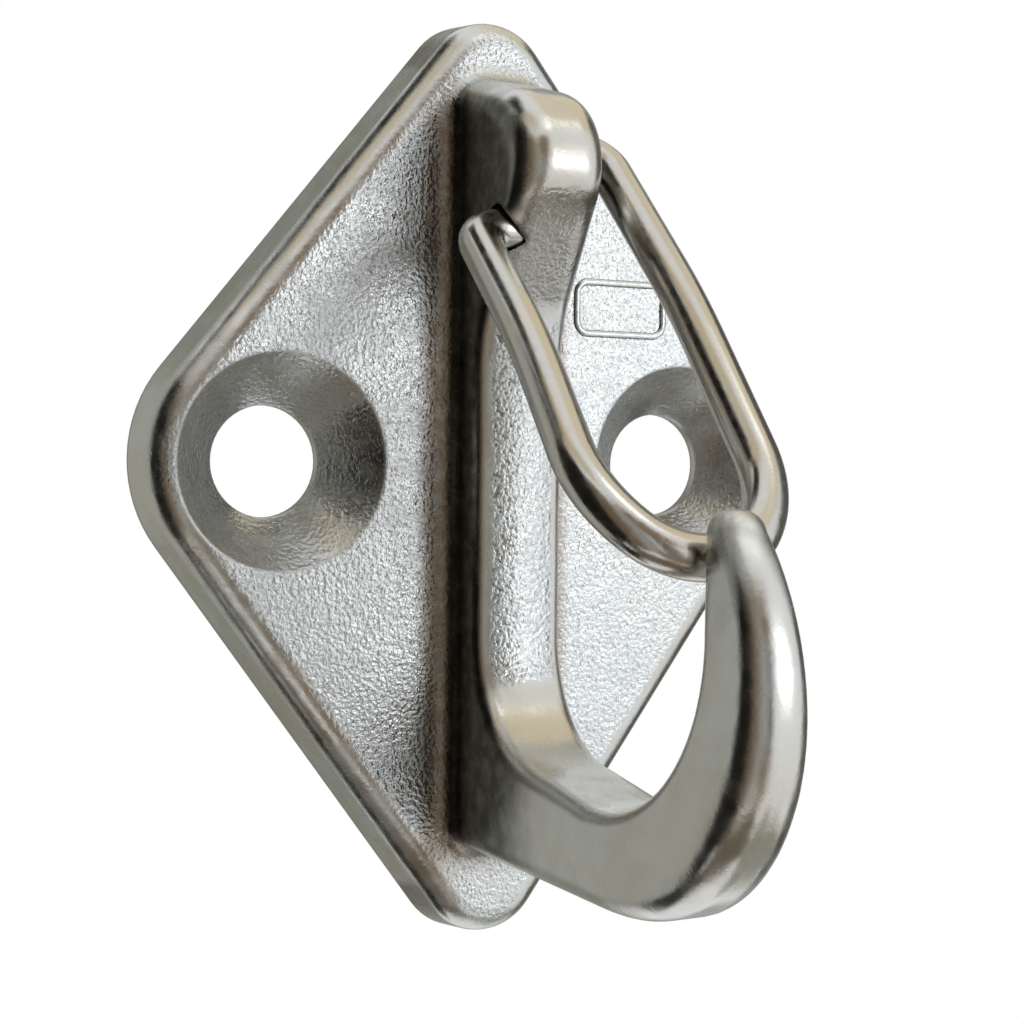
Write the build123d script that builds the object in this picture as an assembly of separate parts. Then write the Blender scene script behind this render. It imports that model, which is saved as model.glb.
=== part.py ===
from build123d import *
import math
import os

# Wall-mounted leash hook: one casting and the bent wire gate that closes its mouth.
# Lengths are in millimetres and angles in degrees.
# The plate's back lies in the plane y = 0 and the hook stands out towards -Y.
# The origin is on the plate's back, midway between the two screw holes.

# Wall plate, a kite with rounded corners
plate_thickness = 5.3
plate_half_width = 30.4      # to the side corners before rounding
plate_rise = 37.7            # widest line to the top corner before rounding
plate_drop = 41.6            # widest line to the bottom corner before rounding
plate_widest_z = 0.4
plate_top_radius = 5.6
plate_side_radius = 11.0
plate_bottom_radius = 5.5
plate_draft = 7.4
plate_edge_radius = 2.1

# Screw holes, for countersunk screws
screw_spacing = 34.5
screw_bore_radius = 4.25
countersink_radius = 8.15
screw_bore_land = 0.9        # straight wall left behind the countersink

# Rib
rib_width = 7.4
rib_front = 9.9              # distance of the rib's front strip from the wall
rib_edge_radius = 1.25
underside_z = -29.7
underside_edge_radius = 2.0
cove_radius = 1.5            # hollow curve where the rib grows out of the plate

# Boss at the rib's head, which holds the gate
boss_front = 16.8
boss_top_z = 31.2            # where the boss's top line would meet the wall
boss_top_fall = 0.29         # fall of that line for each millimetre forward
boss_top_radius = 6.0
boss_edge_radius = 2.4
boss_nose_z = 20.6           # corner between the boss's front and the ramp below it
boss_nose_radius = 2.0
ramp_foot_z = 10.15          # corner between the ramp and the rib's front strip
ramp_foot_radius = 10.0

# Throat and claw, the upturned end
throat_back_z = -20.6
throat_back_radius = 9.0
throat_fall = 0.156          # fall of the throat's floor for each millimetre forward
floor_radius = 9.0           # curve from the sloping floor to its lowest stretch
floor_land = 0.4             # length of that lowest stretch, where the claw starts
claw_inner_front = 37.7      # innermost face of the claw
claw_inner_radius = 11.2
claw_inner_lean = 7.0        # lean of the inner face back towards the wall
claw_thickness = 6.0
claw_outer_radius = 14.8
claw_straight = 0.3          # straight stretch between the outer face's two curves
claw_back_radius = 17.2
claw_back_lean = 37.0        # lean of the outer face where it reaches the tip
claw_outer_share = 0.86      # edge rounding of the outer face, as a share of its half width
claw_inner_share = 0.6       # the same for the inner face, at the tip
tip_foot_z = -4.0            # where the tip's dome starts
tip_height = 1.4
tip_half_width = 1.7
taper_power = 1.2            # how late the claw's sides run in to the tip

# Gate
wire_diameter = 3.1
gate_pivot_front = 12.3
gate_pivot_z = 17.05
gate_free_front = 10.53
gate_free_z = 23.61
gate_lower_end_reach = 5.55   # from the middle out to the leg that ends lower
gate_upper_end_reach = 6.15
gate_bottom_half_width = 7.09
gate_bottom_depth = 8.63
gate_bottom_z = -5.78
gate_rest_gap = 0.2
gate_bow = 0.79
gate_top_bend = 2.5
gate_opening = 22.0
gate_hole_depth = 1.9
gate_end_gap = 0.25
gate_hole_clearance = 0.3
gate_hole_lift = 0.1         # height of the lower end's hole above the wire in it

claw_spans = 4
ramp_spans = 3
span_steps = 3               # a span runs through four sections
dome_angles = (40, 76)       # rise of the dome's sections, as on a quarter circle

rib_half = rib_width / 2
wire_radius = wire_diameter / 2
buried = plate_thickness / 2
claw_outer_front = claw_inner_front + claw_thickness
tip_inner_radius = tip_half_width * claw_inner_share


def side_point(front, z):
    """Point of a side outline, as drawn on the plane x = 0."""
    return (-front, z)


def side_face(rows):
    """Filled outline in the plane x = 0, from rows of distance from the wall, height and radius."""
    corners = [side_point(front, z) for front, z, radius in rows]
    radii = [radius for front, z, radius in rows]
    return make_face(Plane.YZ * FilletPolyline(*corners, radius=radii, close=True))


def side_curve(rows):
    """Open curve in the plane x = 0, from the same kind of rows."""
    corners = [(0, -front, z) for front, z, radius in rows]
    radii = [radius for front, z, radius in rows]
    return FilletPolyline(*corners, radius=radii[1:-1])


def cross_section(inner, outer, half, inner_radius, outer_radius):
    """Rounded section of the hook, standing on the line from inner to outer."""
    depth = (outer - inner).length
    across = Vector(1, 0, 0)
    plane = Plane(origin=inner, x_dir=across, z_dir=across.cross(outer - inner))
    corners = [(-half, 0), (half, 0), (half, depth), (-half, depth)]
    radii = [inner_radius, inner_radius, outer_radius, outer_radius]
    return plane * make_face(FilletPolyline(*corners, radius=radii, close=True))


def rounded_sides(body, kept, radius):
    """Rounds the edges of the body's two side faces whose middles pass a test."""
    sides = body.faces().filter_by(Axis.X).sort_by(Axis.X)
    edges = sides[0].edges() + sides[-1].edges()
    return fillet([edge for edge in edges if kept(edge.center())], radius)


def plate_outline():
    top = plate_widest_z + plate_rise
    bottom = plate_widest_z - plate_drop
    corners = [
        (0, top),
        (-plate_half_width, plate_widest_z),
        (0, bottom),
        (plate_half_width, plate_widest_z),
    ]
    radii = [plate_top_radius, plate_side_radius, plate_bottom_radius, plate_side_radius]
    return make_face(Plane.XZ * FilletPolyline(*corners, radius=radii, close=True))


def screw_cutter():
    slope = (countersink_radius - screw_bore_radius) / (plate_thickness - screw_bore_land)
    beyond = 2.0
    outline = Polyline(
        (0, -beyond),
        (screw_bore_radius, -beyond),
        (screw_bore_radius, screw_bore_land),
        (countersink_radius + beyond * slope, plate_thickness + beyond),
        (0, plate_thickness + beyond),
        close=True,
    )
    cutter = revolve(make_face(outline), Axis.Y)
    return Rot(0, 0, 180) * cutter


def floor_z(front):
    """Height of the straight part of the throat's floor."""
    return throat_back_z - throat_fall * (front - rib_front)


def lowest_floor():
    """Corner between the sloping floor and its level, lowest stretch."""
    level_start = claw_inner_front - claw_inner_radius - floor_land
    front = level_start - floor_radius * math.tan(math.atan(throat_fall) / 2)
    return (front, floor_z(front))


def claw_start():
    """Distance from the wall at which the claw starts, half way along the level stretch."""
    return claw_inner_front - claw_inner_radius - floor_land / 2


def inner_claw_front(z):
    """Distance from the wall of the claw's straight inner face at a height."""
    lean = math.radians(claw_inner_lean)
    centre_z = lowest_floor()[1] + claw_inner_radius
    touch_front = claw_inner_front - claw_inner_radius * (1 - math.cos(lean))
    touch_z = centre_z + claw_inner_radius * math.sin(lean)
    return touch_front - (z - touch_z) * math.tan(lean)


def claw_inner_curve():
    low_z = lowest_floor()[1]
    return side_curve([
        (claw_start(), low_z, 0),
        (inner_claw_front(low_z), low_z, claw_inner_radius),
        (inner_claw_front(tip_foot_z), tip_foot_z, 0),
    ])


def claw_outer_curve():
    lean = math.radians(claw_back_lean)
    back_z = underside_z + claw_outer_radius + claw_straight + claw_back_radius * math.tan(lean / 2)
    return side_curve([
        (claw_start(), underside_z, 0),
        (claw_outer_front, underside_z, claw_outer_radius),
        (claw_outer_front, back_z, claw_back_radius),
        (claw_outer_front - (tip_foot_z - back_z) * math.tan(lean), tip_foot_z, 0),
    ])


def claw_section(share):
    """Section of the claw at a share of its length, from the floor to the tip's foot."""
    start_share = underside_edge_radius / rib_half
    half = rib_half - (rib_half - tip_half_width) * share ** taper_power
    inner_radius = rib_edge_radius + (tip_inner_radius - rib_edge_radius) * share
    outer_share = start_share + (claw_outer_share - start_share) * min(1, 2 * share)
    near = claw_inner_curve() @ share
    far = claw_outer_curve() @ share
    return cross_section(near, far, half, inner_radius, half * outer_share)


def tip_dome():
    near = claw_inner_curve() @ 1
    far = claw_outer_curve() @ 1
    middle = (near + far) * 0.5
    half_depth = (far - near) * 0.5
    lean = math.radians(claw_inner_lean)
    upward = Vector(0, math.sin(lean), math.cos(lean))
    sections = [claw_section(1)]
    for angle in dome_angles:
        size = math.cos(math.radians(angle))
        centre = middle + upward * tip_height * math.sin(math.radians(angle))
        inner = centre - half_depth * size
        outer = centre + half_depth * size
        half = tip_half_width * size
        sections.append(cross_section(inner, outer, half, tip_inner_radius * size, half * claw_outer_share))
    return loft(sections)


def spanned_loft(section, spans):
    """Body through sections at even shares of its length, joined from short lofts."""
    steps = spans * span_steps
    body = None
    for start in range(0, steps, span_steps):
        shares = [(start + step) / steps for step in range(span_steps + 1)]
        span = loft([section(share) for share in shares])
        body = span if body is None else body + span
    return body


def ramp_curve():
    """Front line of the ramp, with a little of the straight lines beside it."""
    turn = math.atan((boss_front - rib_front) / (boss_nose_z - ramp_foot_z))
    land = 0.3
    foot = ramp_foot_z - ramp_foot_radius * math.tan(turn / 2) - land
    top = boss_nose_z + boss_nose_radius * math.tan(turn / 2) + land
    return side_curve([
        (rib_front, foot, 0),
        (rib_front, ramp_foot_z, ramp_foot_radius),
        (boss_front, boss_nose_z, boss_nose_radius),
        (boss_front, top, 0),
    ])


def ramp_section(share):
    """Section of the slope below the boss, with edges that grow rounder on the way out."""
    point = ramp_curve() @ share
    rise = (-point.Y - rib_front) / (boss_front - rib_front)
    radius = rib_edge_radius + (boss_edge_radius - rib_edge_radius) * rise
    return cross_section(point, Vector(0, -buried, point.Z), rib_half, radius, 0)


def boss_head(bottom):
    """The boss above the ramp."""
    body = extrude(side_face([
        (buried, bottom, 0),
        (boss_front, bottom, 0),
        (boss_front, boss_top_z - boss_top_fall * boss_front, boss_top_radius),
        (buried, boss_top_z - boss_top_fall * buried, 0),
    ]), rib_half, both=True)
    return rounded_sides(body, lambda at: at.Z > bottom + 0.01 and -at.Y > buried + 0.01, boss_edge_radius)


def rib(top):
    """Rib below the ramp, round the back of the throat and out to the claw."""
    start = claw_start()
    body = extrude(side_face([
        (buried, top, 0),
        (rib_front, top, 0),
        (rib_front, throat_back_z, throat_back_radius),
        (*lowest_floor(), floor_radius),
        (start, lowest_floor()[1], 0),
        (start, underside_z, 0),
        (buried, underside_z, 0),
    ]), rib_half, both=True)

    def on_front(at):
        return buried + 0.01 < -at.Y < start - 0.01 and underside_z + 0.01 < at.Z < top - 0.01

    body = rounded_sides(body, on_front, rib_edge_radius)
    return rounded_sides(body, lambda at: at.Z < underside_z + 0.01, underside_edge_radius)


def hook_body():
    """Rib, ramp, boss and claw in one."""
    ramp_ends = ramp_curve()
    body = rib((ramp_ends @ 0).Z) + spanned_loft(claw_section, claw_spans) + tip_dome()
    return body + spanned_loft(ramp_section, ramp_spans) + boss_head((ramp_ends @ 1).Z)


def front_face_edges(body):
    """Edges that lie in the plane of the plate's front face."""
    edges = []
    for edge in body.edges():
        box = edge.bounding_box()
        if abs(box.min.Y + plate_thickness) < 0.001 and abs(box.max.Y + plate_thickness) < 0.001:
            edges.append(edge)
    return edges


def near_rib(edge, reach):
    """Whether an edge runs beside the rib or across its ends, no further than a reach from it."""
    points = [edge @ share for share in (0, 0.5, 1)]
    return all(abs(at.X) < rib_half + reach and underside_z - reach < at.Z < boss_top_z for at in points)


def plate_with_hook():
    """Hook on its plate, with the hollow curve at its foot and the plate's rounded rim."""
    body = extrude(plate_outline(), plate_thickness, taper=plate_draft) + hook_body()
    foot = [edge for edge in front_face_edges(body) if near_rib(edge, 0.01)]
    body = fillet(foot, cove_radius)
    rim = [edge for edge in front_face_edges(body) if not near_rib(edge, cove_radius + 0.01)]
    return fillet(rim, plate_edge_radius)


def lower_end_hole():
    """Hole that the wire's other end turns in."""
    cutter = Cylinder(wire_radius + gate_hole_clearance, 2 * gate_hole_depth)
    return Pos(-rib_half, -gate_pivot_front, gate_pivot_z + gate_hole_lift) * Rot(0, 90, 0) * cutter


def free_end_slot():
    """Slot that the wire's free end moves along as the gate opens."""
    reach = math.hypot(gate_free_front - gate_pivot_front, gate_free_z - gate_pivot_z)
    start = math.degrees(math.atan2(gate_free_z - gate_pivot_z, gate_pivot_front - gate_free_front))
    centre = side_point(gate_pivot_front, gate_pivot_z)
    path = CenterArc(centre, reach, start, gate_opening)
    slot = SlotArc(path, 2 * (wire_radius + gate_hole_clearance))
    face = Plane.YZ * slot
    return Pos(rib_half, 0, 0) * extrude(face, gate_hole_depth, both=True)


def hook_casting():
    body = plate_with_hook()
    for side in (-1, 1):
        body -= Pos(side * screw_spacing / 2, 0, 0) * screw_cutter()
    body -= lower_end_hole()
    body -= free_end_slot()
    return body


def gate_path():
    bottom_front = inner_claw_front(gate_bottom_z) - wire_radius - gate_rest_gap
    pivot = Vector(0, -gate_pivot_front, gate_pivot_z)
    free = Vector(0, -gate_free_front, gate_free_z)
    middle = (pivot + free) * 0.5
    bottom = Vector(0, -bottom_front, gate_bottom_z)
    down = (bottom - middle).normalized()
    outward = Vector(0, down.Z, -down.Y)
    share = math.tan(math.radians(22.5))
    half = gate_bottom_half_width
    inner_end = rib_half - gate_hole_depth + gate_end_gap
    side_up = gate_bottom_depth * (1 - share)

    def leg(side, end, reach):
        top = end + Vector(side * reach, 0, 0)
        low = bottom - down * side_up + Vector(side * half, 0, 0) + outward * gate_bow * 0.5
        waist = (top + low) * 0.5 + outward * gate_bow * 1.2
        foot = bottom + Vector(side * half * share, 0, 0)
        return [end + Vector(side * inner_end, 0, 0), top, waist, low, foot]

    side_bend = gate_bottom_depth ** 2 / half
    foot_bend = half ** 2 / gate_bottom_depth
    points = leg(-1, pivot, gate_lower_end_reach) + leg(1, free, gate_upper_end_reach)[::-1]
    radii = [gate_top_bend, 60, side_bend * 0.9, foot_bend]
    return FilletPolyline(*points, radius=radii + radii[::-1])


def wire_gate():
    path = gate_path()
    start = Plane(origin=path @ 0, z_dir=path % 0)
    return sweep(start * Circle(wire_radius), path=path)


parts = {
    "hook_casting": hook_casting(),
    "wire_gate": wire_gate(),
}

os.makedirs("parts", exist_ok=True)
for name, part in parts.items():
    export_step(part, f"parts/{name}.step")
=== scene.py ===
import math

import bpy
from mathutils import Matrix, Vector


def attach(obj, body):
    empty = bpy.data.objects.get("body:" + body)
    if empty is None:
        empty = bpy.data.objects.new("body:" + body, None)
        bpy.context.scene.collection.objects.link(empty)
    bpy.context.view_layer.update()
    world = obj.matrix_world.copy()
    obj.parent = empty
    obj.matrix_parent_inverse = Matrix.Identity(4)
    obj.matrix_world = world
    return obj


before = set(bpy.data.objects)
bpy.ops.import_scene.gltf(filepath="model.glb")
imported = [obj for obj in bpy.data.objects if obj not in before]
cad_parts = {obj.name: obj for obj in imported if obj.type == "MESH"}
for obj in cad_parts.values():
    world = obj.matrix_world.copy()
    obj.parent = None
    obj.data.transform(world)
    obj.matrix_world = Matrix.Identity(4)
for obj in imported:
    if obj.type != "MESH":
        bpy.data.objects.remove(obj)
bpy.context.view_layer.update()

MM = 0.001

# Camera in the part's own frame: angles in degrees, lens and sensor in mm, the rest in metres
CAMERA_AZIMUTH = -27.298
CAMERA_ELEVATION = 1.587
CAMERA_ROLL = 0.534
CAMERA_TARGET = Vector((4.29, 0.0, -3.94)) * MM
CAMERA_DISTANCE = 142.85 * MM
CAMERA_LENS = 61.49
CAMERA_SENSOR = 36.0
CAMERA_NEAR = 0.005
CAMERA_FAR = 10.0

# Stamped frame on the plate's right half, bare inside, in mm
PLATE_FRONT = 5.3
STAMP_CENTRE = (11.2, 12.5)
STAMP_SIZE = (8.0, 4.1)
STAMP_CORNER = 1.0
STAMP_LINE = 0.6
STAMP_HEIGHT = 0.28
STAMP_SINK = 0.05
STAMP_CORNER_STEPS = 8
STAMP_LINE_STEPS = 8

# Colours of the metal, of what dulls it, and of the painted shade and reflection that darken it
STEEL_WARM = (0.60, 0.58, 0.53, 1.0)
STEEL_COOL = (0.63, 0.645, 0.64, 1.0)
SKIN_COOL = (0.63, 0.665, 0.68, 1.0)
WIRE_WARM = (0.60, 0.57, 0.51, 1.0)
WIRE_COOL = (0.58, 0.58, 0.56, 1.0)
# Painted shade for crevices and for the bottom of the stamped line
CREVICE_SHADE = (0.075, 0.062, 0.042, 1.0)
DULL_AND_SHADE = (0.24, 0.185, 0.13, 1.0)
WALL_DULL_AND_SHADE = (0.06, 0.06, 0.05, 1.0)
PIT_SHADE = (0.20, 0.20, 0.18, 1.0)

# Colours of the room
WHITE = (1.0, 1.0, 1.0, 1.0)
PALE = (0.85, 0.85, 0.85, 1.0)

# Pebbled skin. Down to the walls, a pair is a share's start and end, as CastMaker measures
SKIN_FRONT = (6.3, 7.2)
SLANTED_FACING = (0.25, 0.6)
FLAT_FACING = (0.78, 0.92)
SIDE_WALL_SKIN = 0.12
COUNTERSINK_SKIN = 0.5
RIM_SKIN = 0.15
SKIN_TINT = 0.85
SKIN_ROUGHNESS = 0.03

# Pebbled strip on the rib's front, with a rounded crown and more painted shade in the hollows of
# its left half
STRIP_FRONT_FROM = (8.7, 9.4)
STRIP_FRONT_TO = (10.3, 10.9)
STRIP_FOOT = (-20.0, -16.0)
STRIP_HEAD = (10.0, 14.0)
STRIP_ACROSS = (2.3, 2.9)
STRIP_CROWN_RADIUS = 8.0
STRIP_SHADED_SIDE = (0.4, -1.3)
STRIP_PIT_SHADE = 0.6

# Slope between the boss and the strip, grainy and grey
RAMP_FOOT = (10.0, 13.0)
RAMP_HEAD = (18.5, 21.0)
RAMP_SKIN = 0.55
RAMP_DULL = 0.7

# Claw's tip, where a wider soft edge, in mm, eases the crease between dome and claw
TIP_FRONT = (24.0, 28.0)
TIP_FOOT = (-10.0, -6.0)
TIP_SOFTNESS = 1.1

# Rounded rim: where the plate's sides meet the axes, in mm, and the share of the way out there
PLATE_SIDE = 30.4
PLATE_WIDEST_Z = 0.4
PLATE_RISE = 37.7
PLATE_DROP = 41.6
RIM_SHARE = (0.885, 0.93)
WHOLE = (0.0, 1.0)

# Plate beside the rib, darkened with painted reflection and shade of the rib and boss, partly dull
# metal
BESIDE_RIB_BACK = (1.0, 3.5)
BESIDE_RIB_FRONT = (5.6, 6.4)
BESIDE_RIB_ACROSS = (5.2, 7.0)
BESIDE_RIB_FOOT = (-33.0, -29.0)
BESIDE_RIB_HEAD = (25.5, 29.0)
BESIDE_RIB_SHADE_SHARE = 0.85

# Side walls of the rib and boss, darkened with painted reflection and shade, partly dull metal
WALL_SIDEWAYS = (0.6, 0.95)
WALL_FRONT = (12.5, 21.0)
WALL_ACROSS_FROM = (3.0, 3.4)
WALL_ACROSS_TO = (5.4, 6.0)
WALL_SHADE_SHARE = 0.93

# Noise: how fine it is, in 1/mm, and its detail
PEBBLES = (3.0, 2.0)
WAVES = (0.35, 1.0)
SCRATCHES = (9.0, 2.0)
WIRE_SCRATCHES = (6.0, 3.0)

# Patches: fineness and detail of their noise, where they start and end in it, and the values there
CAST_TINT = (0.12, 3.0, (0.35, 0.65), 0.0, 1.0)
CAST_PATCHINESS = (0.9, 4.0, (0.25, 0.65), 0.75, 1.0)
CAST_ROUGHNESS = (0.5, 4.0, (0.3, 0.7), 0.18, 0.30)
STAMP_TINT = (0.8, 3.0, (0.35, 0.65), 0.0, 1.0)
STAMP_ROUGHNESS = (1.5, 3.0, (0.3, 0.7), 0.22, 0.34)
WIRE_TINT = (0.25, 3.0, (0.35, 0.65), 0.0, 1.0)
WIRE_ROUGHNESS = (1.1, 4.0, (0.3, 0.7), 0.16, 0.25)

# Bumps: heights in mm, and how strongly the pebbles show outside the skin
PEBBLE_HEIGHT = 0.13
WAVE_HEIGHT = 0.05
SCRATCH_HEIGHT = 0.004
WIRE_SCRATCH_HEIGHT = 2 * SCRATCH_HEIGHT
POLISHED_GRAIN = 0.07
STAMP_GRAIN = 0.4

# Painted shade in the skin's hollows, by the noise of its pebbles, and how much it darkens them
PIT_SHADE_ENDS = (0.46, 0.34)
PIT_SHADE_SHARE = 0.22

# Edges softened in the shading, in mm
CAST_EDGE = 0.45
STAMP_EDGE = 0.05
WIRE_EDGE = 0.15

# Crevices, darkened with painted shade: their reach in mm, how open they are where the shade
# starts and is full, its share
CREVICE_REACH = 3.5
CAST_CREVICES = (0.80, 0.30)
WIRE_CREVICES = (0.7, 0.2)
WIRE_CREVICE_SHADE = 0.7

# Painted shade along the bottom of the stamped line, in mm above the plate, and its share
STAMP_FOOT = (0.02, 0.18)
STAMP_FOOT_SHADE = 0.85

# Samples of the edge and crevice nodes
NODE_SAMPLES = 4

# Sockets of a colour mix node, by number because others share their names
MIX_FIRST = 6
MIX_SECOND = 7
MIX_RESULT = 2

# Unseen cards that the metal reflects: azimuth, elevation, width and height in degrees, colour
CARDS = {
    "left_flag": (-88, 0, 58, 96, (0.010, 0.010, 0.008)),
    "left_warm_card": (-48, 0, 21, 80, (0.20, 0.145, 0.095)),
    "front_left_card": (-27, 0, 21, 70, (0.38, 0.37, 0.33)),
    "front_flag": (-5, -2, 17, 42, (0.16, 0.155, 0.14)),
    "front_brown_card": (-4, 30, 30, 24, (0.27, 0.19, 0.125)),
    "right_flag": (100, 0, 42, 96, (0.11, 0.11, 0.10)),
    "back_right_card": (141, 0, 38, 90, (0.36, 0.36, 0.33)),
    "back_card": (180, 0, 40, 90, (0.27, 0.268, 0.225)),
    "back_left_card": (-139, 0, 42, 90, (0.46, 0.46, 0.42)),
    "low_card": (-40, -62, 50, 32, (0.17, 0.14, 0.105)),
    "low_dark_card": (-124, -58, 36, 24, (0.02, 0.02, 0.015)),
    "low_right_card": (62, -60, 44, 28, (0.34, 0.34, 0.29)),
    "front_low_card": (-6, -31, 26, 20, (0.26, 0.20, 0.14)),
    "high_tan_card": (-54, 60, 36, 20, (0.70, 0.61, 0.45)),
    "high_dark_card": (-122, 61, 40, 22, (0.02, 0.02, 0.015)),
    "high_right_card": (95, 60, 56, 34, (0.90, 0.81, 0.63)),
}
CARD_DISTANCE = 420.0

# Lamps: azimuth, elevation, width and height in degrees, brightness
LAMPS = {
    "key_lamp": (30, 8, 19, 27, 2.1),
    "top_lamp": (30, 56, 22, 12, 1.3),
}
LAMP_DISTANCE = 400.0


def direction(azimuth, elevation):
    """Away from the part: azimuth 0 is towards the room, and 90 to the right."""
    turn = math.radians(azimuth)
    rise = math.radians(elevation)
    return Vector((
        math.sin(turn) * math.cos(rise),
        -math.cos(turn) * math.cos(rise),
        math.sin(rise),
    ))


def add_camera():
    data = bpy.data.cameras.new("camera")
    data.lens = CAMERA_LENS
    data.sensor_width = CAMERA_SENSOR
    data.clip_start = CAMERA_NEAR
    data.clip_end = CAMERA_FAR
    camera = bpy.data.objects.new("camera", data)
    bpy.context.scene.collection.objects.link(camera)
    back = direction(CAMERA_AZIMUTH, CAMERA_ELEVATION)
    azimuth = math.radians(CAMERA_AZIMUTH)
    right = Vector((math.cos(azimuth), math.sin(azimuth), 0.0))
    up = back.cross(right)
    roll = math.radians(CAMERA_ROLL)
    rolled_right = right * math.cos(roll) + up * math.sin(roll)
    rolled_up = up * math.cos(roll) - right * math.sin(roll)
    turn = Matrix((rolled_right, rolled_up, back)).transposed().to_4x4()
    place = Matrix.Translation(CAMERA_TARGET + back * CAMERA_DISTANCE)
    camera.matrix_world = place @ turn
    bpy.context.scene.camera = camera


class Maker:
    """Adds nodes to a metal's tree, where places are in mm."""

    def __init__(self, name):
        self.material = bpy.data.materials.new(name)
        self.material.use_nodes = True
        self.tree = self.material.node_tree
        self.shader = self.tree.nodes["Principled BSDF"]
        coordinates = self.tree.nodes.new("ShaderNodeTexCoord")
        scale = self.tree.nodes.new("ShaderNodeVectorMath")
        scale.operation = "SCALE"
        scale.inputs["Scale"].default_value = 1.0 / MM
        self.join(coordinates.outputs["Object"], scale.inputs[0])
        self.spot = scale.outputs[0]
        self.normal = coordinates.outputs["Normal"]

    def join(self, source, target):
        self.tree.links.new(source, target)

    def put(self, value, target):
        if isinstance(value, bpy.types.NodeSocket):
            self.join(value, target)
        else:
            target.default_value = value

    def split(self, vector):
        node = self.tree.nodes.new("ShaderNodeSeparateXYZ")
        self.join(vector, node.inputs[0])
        return node.outputs

    def maths(self, operation, first, second):
        node = self.tree.nodes.new("ShaderNodeMath")
        node.operation = operation
        self.put(first, node.inputs[0])
        self.put(second, node.inputs[1])
        return node.outputs[0]

    def size_of(self, value):
        return self.maths("ABSOLUTE", value, 0.0)

    def minus(self, value):
        return self.maths("MULTIPLY", value, -1.0)

    def product(self, first, *others):
        for other in others:
            first = self.maths("MULTIPLY", first, other)
        return first

    def greatest(self, first, *others):
        for other in others:
            first = self.maths("MAXIMUM", first, other)
        return first

    def step(self, value, ends, low=0.0, high=1.0):
        node = self.tree.nodes.new("ShaderNodeMapRange")
        node.interpolation_type = "SMOOTHSTEP"
        self.put(value, node.inputs["Value"])
        node.inputs["From Min"].default_value = ends[0]
        node.inputs["From Max"].default_value = ends[1]
        node.inputs["To Min"].default_value = low
        node.inputs["To Max"].default_value = high
        return node.outputs[0]

    def fall(self, value, ends, high=1.0):
        return self.step(value, ends, high, 0.0)

    def noise(self, scale, detail):
        node = self.tree.nodes.new("ShaderNodeTexNoise")
        self.join(self.spot, node.inputs["Vector"])
        node.inputs["Scale"].default_value = scale
        node.inputs["Detail"].default_value = detail
        return node.outputs[0]

    def patches(self, scale, detail, ends, low, high):
        return self.step(self.noise(scale, detail), ends, low, high)

    def mix(self, share, first, second):
        node = self.tree.nodes.new("ShaderNodeMix")
        node.data_type = "RGBA"
        self.put(share, node.inputs[0])
        self.put(first, node.inputs[MIX_FIRST])
        self.put(second, node.inputs[MIX_SECOND])
        return node.outputs[MIX_RESULT]

    def bump(self, height, strength, distance, normal):
        node = self.tree.nodes.new("ShaderNodeBump")
        self.put(strength, node.inputs["Strength"])
        node.inputs["Distance"].default_value = distance * MM
        self.join(height, node.inputs["Height"])
        self.join(normal, node.inputs["Normal"])
        return node.outputs[0]

    def bevel(self, radius):
        node = self.tree.nodes.new("ShaderNodeBevel")
        node.samples = NODE_SAMPLES
        self.put(radius, node.inputs["Radius"])
        return node.outputs[0]

    def crevices(self):
        node = self.tree.nodes.new("ShaderNodeAmbientOcclusion")
        node.samples = NODE_SAMPLES
        node.only_local = True
        node.inputs["Distance"].default_value = CREVICE_REACH * MM
        return node.outputs["AO"]

    def finish(self, colour, roughness, normal):
        self.put(colour, self.shader.inputs["Base Color"])
        self.put(roughness, self.shader.inputs["Roughness"])
        self.join(normal, self.shader.inputs["Normal"])
        self.shader.inputs["Metallic"].default_value = 1.0
        return self.material


class CastMaker(Maker):
    """A maker that also measures where a spot on the casting lies and how it faces.

    side: mm to the right of the middle, and across: the same without its sign
    front: mm from the wall
    height: mm above the line through the screw holes, for the heads and feet
    facing: the normal's part towards the room
    sideways: the size of the normal's part along the plate's width
    """

    def __init__(self, name):
        super().__init__(name)
        self.side, depth, self.height = self.split(self.spot)
        self.across = self.size_of(self.side)
        self.front = self.minus(depth)
        along, into_wall, _ = self.split(self.normal)
        self.sideways = self.size_of(along)
        self.facing = self.minus(into_wall)


def rim_share(make):
    """0 on the plate's field, 1 on its rounded rim."""
    across = make.maths("DIVIDE", make.across, PLATE_SIDE)
    height = make.maths("SUBTRACT", make.height, PLATE_WIDEST_Z)
    up = make.maths("DIVIDE", height, PLATE_RISE)
    down = make.maths("DIVIDE", height, -PLATE_DROP)
    return make.step(make.maths("ADD", across, make.greatest(up, down)), RIM_SHARE)


def plate_skin(make):
    """How pebbled the plate is: fully on its field, and less on what is slanted."""
    slanted = make.step(make.facing, SLANTED_FACING, SIDE_WALL_SKIN, COUNTERSINK_SKIN)
    return make.product(
        make.fall(make.front, SKIN_FRONT),
        make.greatest(slanted, make.step(make.facing, FLAT_FACING)),
        make.step(rim_share(make), WHOLE, 1.0, RIM_SKIN),
    )


def strip_share(make):
    """1 on the rib's front strip, where the skin is pebbled as on the plate."""
    return make.product(
        make.step(make.front, STRIP_FRONT_FROM),
        make.fall(make.front, STRIP_FRONT_TO),
        make.step(make.height, STRIP_FOOT),
        make.fall(make.height, STRIP_HEAD),
        make.fall(make.across, STRIP_ACROSS),
    )


def ramp_share(make):
    """1 on the slope between the boss and the strip."""
    return make.product(
        make.step(make.height, RAMP_FOOT),
        make.fall(make.height, RAMP_HEAD),
        make.step(make.front, STRIP_FRONT_FROM),
        make.fall(make.across, STRIP_ACROSS),
    )


def tip_share(make):
    """1 at the claw's tip."""
    return make.product(make.step(make.front, TIP_FRONT), make.step(make.height, TIP_FOOT))


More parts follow.
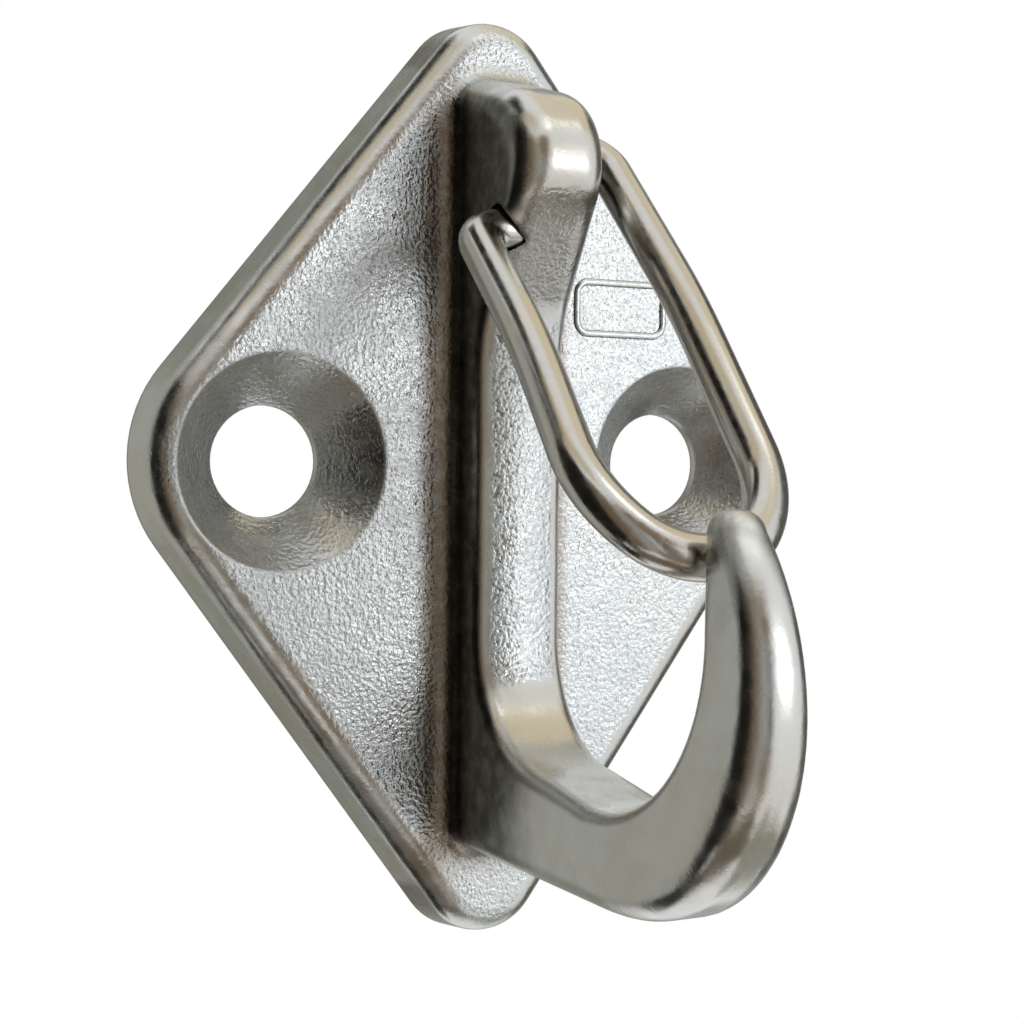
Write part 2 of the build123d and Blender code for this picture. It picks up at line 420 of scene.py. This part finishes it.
def beside_rib_shade(make):
    """How much painted reflection and shade, partly dull metal, darken the plate beside the rib,
    and not on its back.
    """
    return make.product(
        make.fall(make.front, BESIDE_RIB_FRONT, BESIDE_RIB_SHADE_SHARE),
        make.step(make.front, BESIDE_RIB_BACK),
        make.fall(make.across, BESIDE_RIB_ACROSS),
        make.step(make.height, BESIDE_RIB_FOOT),
        make.fall(make.height, BESIDE_RIB_HEAD),
    )


def rib_wall_shade(make):
    """How much painted reflection and shade, partly dull metal, darken the rib's and boss's side
    walls.
    """
    return make.product(
        make.step(make.sideways, WALL_SIDEWAYS, 0.0, WALL_SHADE_SHARE),
        make.fall(make.front, WALL_FRONT),
        make.step(make.across, WALL_ACROSS_FROM),
        make.fall(make.across, WALL_ACROSS_TO),
    )


def cast_colour(make, pebbles, skin, strip, ramp):
    # Painted shade in the hollows of the pebbled skin
    pit_shade = make.product(make.step(pebbles, PIT_SHADE_ENDS), skin)
    # More painted shade in those hollows on the strip's left half
    strip_pit_shade = make.product(make.step(make.side, STRIP_SHADED_SIDE), strip, STRIP_PIT_SHADE)
    # Patches that make the painted shade, the painted reflection and the dulling uneven
    patchiness = make.patches(*CAST_PATCHINESS)
    layers = (
        (make.product(skin, SKIN_TINT), SKIN_COOL),
        (make.product(pit_shade, make.maths("ADD", strip_pit_shade, PIT_SHADE_SHARE)), PIT_SHADE),
        # Painted reflection and shade of the rib on the plate beside it, partly dull metal
        (make.product(beside_rib_shade(make), patchiness), DULL_AND_SHADE),
        # Painted reflection and shade on the rib's and boss's side walls, partly dull metal
        (make.product(rib_wall_shade(make), patchiness), WALL_DULL_AND_SHADE),
        (make.product(ramp, RAMP_DULL), DULL_AND_SHADE),
        # Painted shade in the casting's crevices
        (make.product(make.step(make.crevices(), CAST_CREVICES), patchiness), CREVICE_SHADE),
    )
    colour = make.mix(make.patches(*CAST_TINT), STEEL_WARM, STEEL_COOL)
    for share, layer in layers:
        colour = make.mix(share, colour, layer)
    return colour


def cast_normal(make, pebbles, skin, strip):
    softness = make.product(tip_share(make), TIP_SOFTNESS * MM)
    normal = make.bevel(make.maths("ADD", softness, CAST_EDGE * MM))
    # The crown's height is in mm as it stands, so its distance is 1
    crown = make.maths("DIVIDE", make.product(make.side, make.side), -2.0 * STRIP_CROWN_RADIUS)
    normal = make.bump(crown, strip, 1.0, normal)
    normal = make.bump(make.noise(*WAVES), 1.0, WAVE_HEIGHT, normal)
    normal = make.bump(make.noise(*SCRATCHES), 1.0, SCRATCH_HEIGHT, normal)
    return make.bump(pebbles, make.greatest(skin, POLISHED_GRAIN), PEBBLE_HEIGHT, normal)


def cast_steel():
    """Pebbled on the plate and strip, darkened beside the rib with painted reflection and shade,
    partly dull metal, and polished elsewhere.
    """
    make = CastMaker("cast_steel")
    strip = strip_share(make)
    ramp = make.product(ramp_share(make), RAMP_SKIN)
    skin = make.greatest(plate_skin(make), strip, ramp)
    pebbles = make.noise(*PEBBLES)
    colour = cast_colour(make, pebbles, skin, strip, ramp)
    roughness = make.maths(
        "ADD", make.patches(*CAST_ROUGHNESS), make.product(skin, SKIN_ROUGHNESS)
    )
    return make.finish(colour, roughness, cast_normal(make, pebbles, skin, strip))


def stamp_steel():
    """Bright on the raised line, with painted shade where it meets the plate."""
    make = Maker("stamp_steel")
    front = make.minus(make.split(make.spot)[1])
    foot_ends = [PLATE_FRONT + rise for rise in STAMP_FOOT]
    # Painted shade where the raised line meets the plate
    foot_shade = make.fall(front, foot_ends, STAMP_FOOT_SHADE)
    colour = make.mix(make.patches(*STAMP_TINT), STEEL_COOL, SKIN_COOL)
    colour = make.mix(foot_shade, colour, CREVICE_SHADE)
    normal = make.bevel(STAMP_EDGE * MM)
    normal = make.bump(make.noise(*PEBBLES), STAMP_GRAIN, PEBBLE_HEIGHT, normal)
    return make.finish(colour, make.patches(*STAMP_ROUGHNESS), normal)


def wire_steel():
    """Polished, with a little painted shade in its crevices."""
    make = Maker("wire_steel")
    # Painted shade where the wire sits in crevices
    crevice_shade = make.product(make.step(make.crevices(), WIRE_CREVICES), WIRE_CREVICE_SHADE)
    colour = make.mix(make.patches(*WIRE_TINT), WIRE_WARM, WIRE_COOL)
    colour = make.mix(crevice_shade, colour, CREVICE_SHADE)
    normal = make.bevel(WIRE_EDGE * MM)
    normal = make.bump(make.noise(*WIRE_SCRATCHES), 1.0, WIRE_SCRATCH_HEIGHT, normal)
    return make.finish(colour, make.patches(*WIRE_ROUGHNESS), normal)


def dress(node, material):
    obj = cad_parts[node]
    obj.data.materials.clear()
    obj.data.materials.append(material)
    for polygon in obj.data.polygons:
        polygon.use_smooth = True


def stamp_path():
    """Points of a rounded rectangle and the outward direction at each."""
    half_width = STAMP_SIZE[0] / 2 - STAMP_CORNER
    half_height = STAMP_SIZE[1] / 2 - STAMP_CORNER
    corners = (
        (half_width, half_height),
        (-half_width, half_height),
        (-half_width, -half_height),
        (half_width, -half_height),
    )
    path = []
    for index, corner in enumerate(corners):
        for step in range(STAMP_CORNER_STEPS + 1):
            angle = math.pi / 2 * (index + step / STAMP_CORNER_STEPS)
            outward = Vector((math.cos(angle), math.sin(angle)))
            path.append((Vector(corner) + outward * STAMP_CORNER, outward))
    return path


def stamp_points(path):
    """A low arch across the line at each point of the path."""
    points = []
    for spot, outward in path:
        for step in range(STAMP_LINE_STEPS + 1):
            angle = math.pi * step / STAMP_LINE_STEPS
            across = spot + outward * (STAMP_LINE / 2 * math.cos(angle))
            rise = STAMP_HEIGHT * math.sin(angle) - STAMP_SINK
            points.append(Vector((
                STAMP_CENTRE[0] + across.x,
                -PLATE_FRONT - rise,
                STAMP_CENTRE[1] + across.y,
            )) * MM)
    return points


def stamp_faces(count):
    """The arches joined in a ring, with a flat strip below them."""
    faces = []
    row = STAMP_LINE_STEPS + 1
    for index in range(count):
        here = index * row
        there = (index + 1) % count * row
        for step in range(STAMP_LINE_STEPS):
            faces.append((here + step, here + step + 1, there + step + 1, there + step))
        faces.append((here + STAMP_LINE_STEPS, here, there, there + STAMP_LINE_STEPS))
    return faces


def stamp_frame(material):
    """A thin raised line round a bare field, where the casting has its mark."""
    path = stamp_path()
    mesh = bpy.data.meshes.new("stamp_frame")
    mesh.from_pydata(stamp_points(path), [], stamp_faces(len(path)))
    for polygon in mesh.polygons:
        polygon.use_smooth = True
    mesh.materials.append(material)
    piece = bpy.data.objects.new("stamp_frame", mesh)
    bpy.context.scene.collection.objects.link(piece)
    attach(piece, "casting")


def glow(name, colour):
    material = bpy.data.materials.new(name)
    material.use_nodes = True
    tree = material.node_tree
    tree.nodes.clear()
    light = tree.nodes.new("ShaderNodeEmission")
    light.inputs["Color"].default_value = (*colour, 1.0)
    output = tree.nodes.new("ShaderNodeOutputMaterial")
    tree.links.new(light.outputs[0], output.inputs["Surface"])
    return material


def facing_centre(obj, azimuth, elevation, distance):
    away = direction(azimuth, elevation)
    obj.location = away * distance * MM
    obj.rotation_euler = away.to_track_quat("Z", "Y").to_euler()


def span(degrees, distance):
    """The width in metres that fills an angle at a distance in mm."""
    return 2 * distance * MM * math.tan(math.radians(degrees / 2))


def add_card(name, azimuth, elevation, width, height, colour):
    half_width = span(width, CARD_DISTANCE) / 2
    half_height = span(height, CARD_DISTANCE) / 2
    mesh = bpy.data.meshes.new(name)
    corners = ((-1, -1), (1, -1), (1, 1), (-1, 1))
    points = [(x * half_width, y * half_height, 0) for x, y in corners]
    mesh.from_pydata(points, [], [(0, 1, 2, 3)])
    mesh.materials.append(glow(name, colour))
    card = bpy.data.objects.new(name, mesh)
    facing_centre(card, azimuth, elevation, CARD_DISTANCE)
    bpy.context.scene.collection.objects.link(card)
    card.visible_camera = False
    card.visible_diffuse = False
    card.visible_shadow = False


def add_lamp(name, azimuth, elevation, width, height, brightness):
    data = bpy.data.lights.new(name, "AREA")
    data.shape = "ELLIPSE"
    data.size = span(width, LAMP_DISTANCE)
    data.size_y = span(height, LAMP_DISTANCE)
    ellipse = data.size * data.size_y * math.pi / 4
    data.energy = brightness * math.pi * ellipse
    lamp = bpy.data.objects.new(name, data)
    facing_centre(lamp, azimuth, elevation, LAMP_DISTANCE)
    bpy.context.scene.collection.objects.link(lamp)


def add_world():
    """White where the camera and the metal look, and pale light elsewhere."""
    world = bpy.data.worlds.new("room")
    world.use_nodes = True
    tree = world.node_tree
    light = tree.nodes["Background"]
    light.inputs["Color"].default_value = PALE
    white = tree.nodes.new("ShaderNodeBackground")
    white.inputs["Color"].default_value = WHITE
    white.inputs["Strength"].default_value = 1.0
    rays = tree.nodes.new("ShaderNodeLightPath")
    seen = rays.outputs["Is Camera Ray"]
    for kind in ("Is Glossy Ray", "Is Transmission Ray"):
        either = tree.nodes.new("ShaderNodeMath")
        either.operation = "MAXIMUM"
        tree.links.new(seen, either.inputs[0])
        tree.links.new(rays.outputs[kind], either.inputs[1])
        seen = either.outputs[0]
    mixed = tree.nodes.new("ShaderNodeMixShader")
    tree.links.new(seen, mixed.inputs[0])
    tree.links.new(light.outputs[0], mixed.inputs[1])
    tree.links.new(white.outputs[0], mixed.inputs[2])
    tree.links.new(mixed.outputs[0], tree.nodes["World Output"].inputs["Surface"])
    bpy.context.scene.world = world


dress("hook_casting", cast_steel())
dress("wire_gate", wire_steel())
stamp_frame(stamp_steel())
add_camera()
add_world()
for name, values in CARDS.items():
    add_card(name, *values)
for name, values in LAMPS.items():
    add_lamp(name, *values)
bpy.context.scene.view_settings.view_transform = "Standard"
